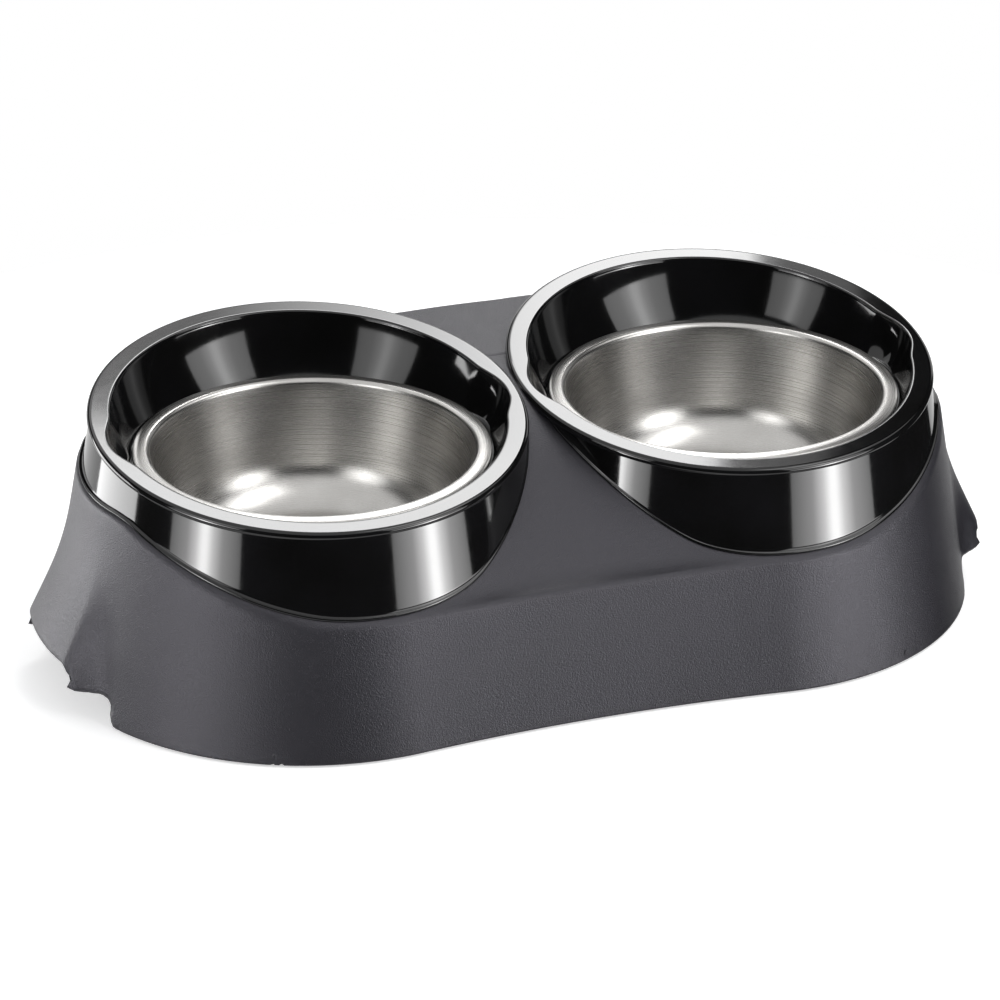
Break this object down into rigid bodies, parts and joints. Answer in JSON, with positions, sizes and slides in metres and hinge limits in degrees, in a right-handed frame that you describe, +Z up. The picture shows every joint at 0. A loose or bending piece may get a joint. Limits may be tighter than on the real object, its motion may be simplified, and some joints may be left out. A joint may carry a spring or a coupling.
{
  "type": "double pet bowl",
  "caption": "Low pet feeding station: a waisted stand with hand grips and rubber feet carries a row of lift-out glossy bowls with slanting rims, each holding a lift-out steel bowl.",
  "frame": {"origin": "middle of the stand on the resting plane, under the feet", "axes": "+X along the row of bowls to the right, +Y to the higher back, +Z up"},
  "size_m": [0.4238, 0.2228, 0.1223],
  "materials": {
    "stand_plastic": "anthracite moulded plastic with a fine matte grain",
    "glossy_bowl": "deep black polished melamine with clear reflections",
    "steel": "spun stainless steel, satin inside with a brighter folded rim",
    "rubber": "dull black rubber"
  },
  "bodies": {
    "base": {"stand": "stand_plastic", "front_left_foot": "rubber", "front_right_foot": "rubber", "back_left_foot": "rubber", "back_right_foot": "rubber"},
    "left_outer": {"left_outer_bowl": "glossy_bowl"},
    "right_outer": {"right_outer_bowl": "glossy_bowl"},
    "left_steel": {"left_steel_bowl": "steel"},
    "right_steel": {"right_steel_bowl": "steel"}
  },
  "joints": [
    {"name": "left_outer_lift", "type": "slide", "parent": "base", "child": "left_outer", "axis": [0, 0, 1], "range_m": [0, 0.12]},
    {"name": "right_outer_lift", "type": "slide", "parent": "base", "child": "right_outer", "axis": [0, 0, 1], "range_m": [0, 0.12]},
    {"name": "left_steel_lift", "type": "slide", "parent": "left_outer", "child": "left_steel", "axis": [0, 0, 1], "range_m": [0, 0.09]},
    {"name": "right_steel_lift", "type": "slide", "parent": "right_outer", "child": "right_steel", "axis": [0, 0, 1], "range_m": [0, 0.09]}
  ]
}
